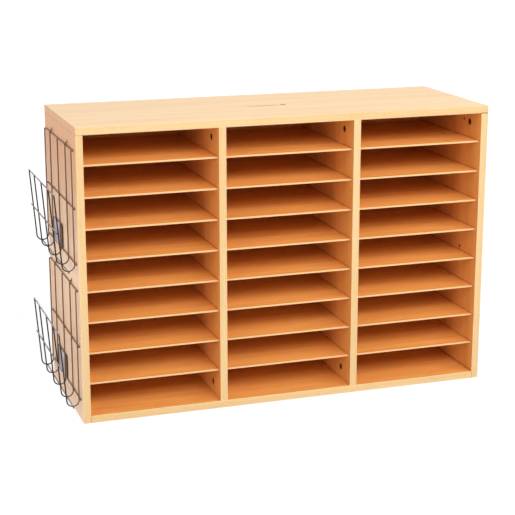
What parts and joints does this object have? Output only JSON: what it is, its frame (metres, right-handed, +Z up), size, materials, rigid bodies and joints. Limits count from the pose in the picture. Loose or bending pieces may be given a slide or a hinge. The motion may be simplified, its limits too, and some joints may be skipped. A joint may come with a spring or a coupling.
{
  "type": "envelope sorter",
  "caption": "Open-fronted laminated case of thin-shelved envelope slots, with wire pocket racks hooked into holes in its side.",
  "frame": {"origin": "middle of the case's underside, on the surface it stands on", "axes": "+X left to right along the front, +Y from the open front to the back, +Z up"},
  "size_m": [0.9745, 0.332, 0.636],
  "materials": {
    "case_laminate": "pale beech laminate, satin",
    "shelf_board": "pale beech laminate on thin board, satin",
    "back_board": "beech-faced hardboard, satin",
    "cam_metal": "dark bronzed casting",
    "bolt_steel": "zinc plated",
    "dowel_wood": "plain hardwood",
    "rack_wire": "gunmetal grey, semi-gloss",
    "plate_metal": "grey, semi-gloss"
  },
  "bodies": {
    "case": {"back_panel": "back_board", "bottom_board": "case_laminate", "cam_bolts": "bolt_steel", "cam_locks": "cam_metal", "dowels": "dowel_wood", "left_divider": "case_laminate", "left_side": "case_laminate", "right_divider": "case_laminate", "right_side": "case_laminate", "shelf_left_1": "shelf_board", "shelf_left_2": "shelf_board", "shelf_left_3": "shelf_board", "shelf_left_4": "shelf_board", "shelf_left_5": "shelf_board", "shelf_left_6": "shelf_board", "shelf_left_7": "shelf_board", "shelf_left_8": "shelf_board", "shelf_middle_1": "shelf_board", "shelf_middle_2": "shelf_board", "shelf_middle_3": "shelf_board", "shelf_middle_4": "shelf_board", "shelf_middle_5": "shelf_board", "shelf_middle_6": "shelf_board", "shelf_middle_7": "shelf_board", "shelf_middle_8": "shelf_board", "shelf_right_1": "shelf_board", "shelf_right_2": "shelf_board", "shelf_right_3": "shelf_board", "shelf_right_4": "shelf_board", "shelf_right_5": "shelf_board", "shelf_right_6": "shelf_board", "shelf_right_7": "shelf_board", "shelf_right_8": "shelf_board", "top_board": "case_laminate"},
    "upper_rack": {"upper_rack_back_low_rail": "rack_wire", "upper_rack_back_middle_rail": "rack_wire", "upper_rack_back_top_rail": "rack_wire", "upper_rack_floor_rail": "rack_wire", "upper_rack_front_middle_rail": "rack_wire", "upper_rack_front_top_rail": "rack_wire", "upper_rack_plate": "plate_metal", "upper_rack_wire_1": "rack_wire", "upper_rack_wire_2": "rack_wire", "upper_rack_wire_3": "rack_wire", "upper_rack_wire_4": "rack_wire", "upper_rack_wire_5": "rack_wire"},
    "lower_rack": {"lower_rack_back_low_rail": "rack_wire", "lower_rack_back_middle_rail": "rack_wire", "lower_rack_back_top_rail": "rack_wire", "lower_rack_floor_rail": "rack_wire", "lower_rack_front_middle_rail": "rack_wire", "lower_rack_front_top_rail": "rack_wire", "lower_rack_plate": "plate_metal", "lower_rack_wire_1": "rack_wire", "lower_rack_wire_2": "rack_wire", "lower_rack_wire_3": "rack_wire", "lower_rack_wire_4": "rack_wire", "lower_rack_wire_5": "rack_wire"}
  },
  "joints": [
    {"name": "upper_rack_lift", "type": "slide", "parent": "case", "child": "upper_rack", "axis": [0, 0, 1], "range_m": [0, 0.0044]},
    {"name": "lower_rack_lift", "type": "slide", "parent": "case", "child": "lower_rack", "axis": [0, 0, 1], "range_m": [0, 0.0044]}
  ]
}
